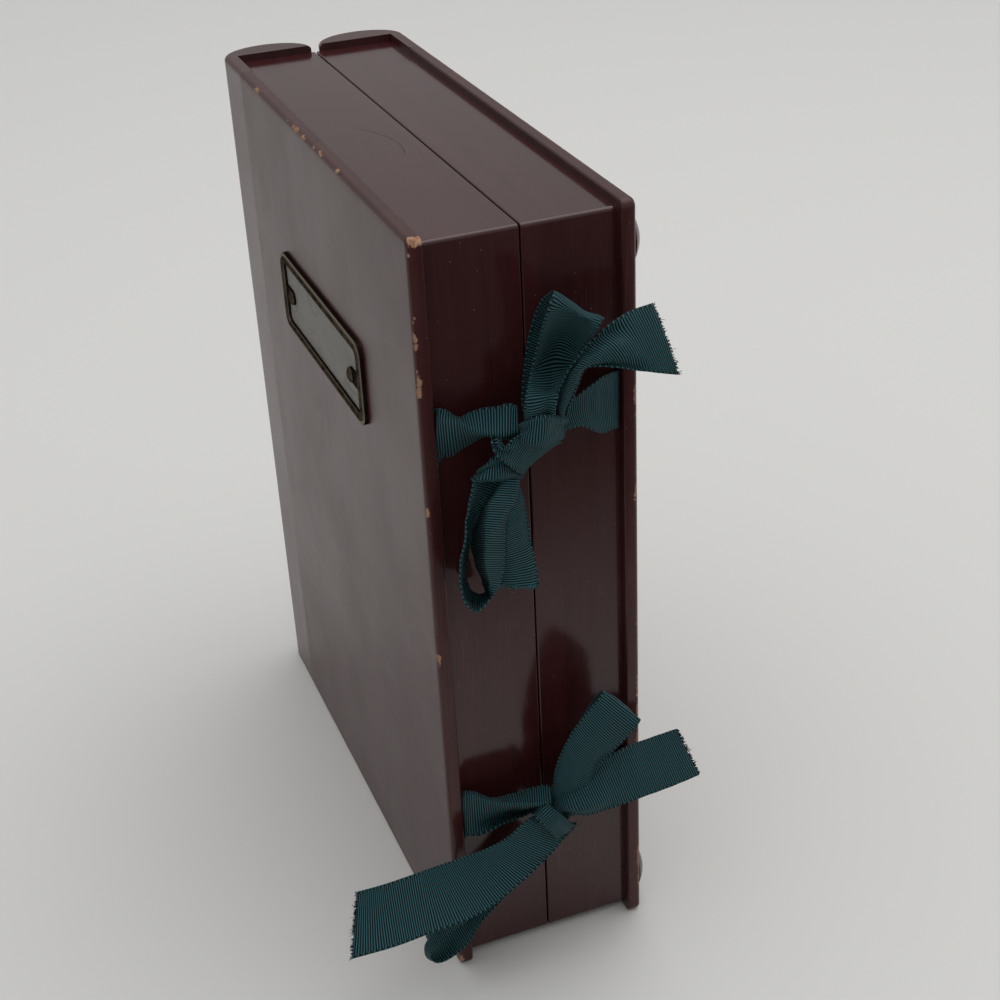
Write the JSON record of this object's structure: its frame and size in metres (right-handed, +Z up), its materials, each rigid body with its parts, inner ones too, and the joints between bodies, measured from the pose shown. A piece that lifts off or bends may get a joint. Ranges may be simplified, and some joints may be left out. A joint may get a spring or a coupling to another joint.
{
  "type": "stationery box",
  "caption": "Book-shaped wooden stationery box: two hinged trays between overhanging covers with a half-round spine, a label holder, button feet and ribbon bows on the fore-edge.",
  "frame": {"origin": "the middle of the base cover's lower edge, on the surface the box stands on", "axes": "+Z up as the box stands on the lower edges of its covers; -Y toward the fore-edge with the ribbons, +Y toward the spine; +X out of the base cover with the feet, -X toward the lid"},
  "size_m": [0.1441, 0.2747, 0.305],
  "materials": {
    "stained_wood": "dark red-brown mahogany stain under a glossy lacquer, worn at the edges",
    "inner_wood": "stained, satin",
    "lining_paper": "matte lining paper on board",
    "label_card": "grey speckled card",
    "aged_bronze": "dark aged bronze, dull",
    "brass": "plain brass, slightly dull",
    "ribbon": "dark teal-green grosgrain, ribbed"
  },
  "bodies": {
    "base": {"base_cover": "stained_wood", "base_spine": "stained_wood", "base_front_wall": "stained_wood", "base_back_wall": "stained_wood", "base_top_wall": "stained_wood", "base_bottom_wall": "stained_wood", "base_lining": "lining_paper", "feet": "stained_wood", "hinge_base_leaves": "brass", "hinge_pins": "brass", "hinge_base_screws": "brass", "upper_base_ribbon": "ribbon", "lower_base_ribbon": "ribbon"},
    "lid": {"lid_cover": "stained_wood", "lid_spine": "stained_wood", "lid_front_wall": "stained_wood", "lid_back_wall": "stained_wood", "lid_top_wall": "stained_wood", "lid_bottom_wall": "stained_wood", "lid_lining": "lining_paper", "lid_long_divider": "inner_wood", "lid_short_divider": "inner_wood", "label_frame": "aged_bronze", "label_pins": "aged_bronze", "label_card": "label_card", "hinge_lid_leaves": "brass", "hinge_lid_screws": "brass", "upper_lid_ribbon": "ribbon", "lower_lid_ribbon": "ribbon"}
  },
  "joints": [
    {"name": "lid_hinge", "type": "hinge", "parent": "base", "child": "lid", "pos_m": [-0.0366, 0.1275, 0.1525], "axis": [0, 0, -1], "range_deg": [0, 150]}
  ]
}
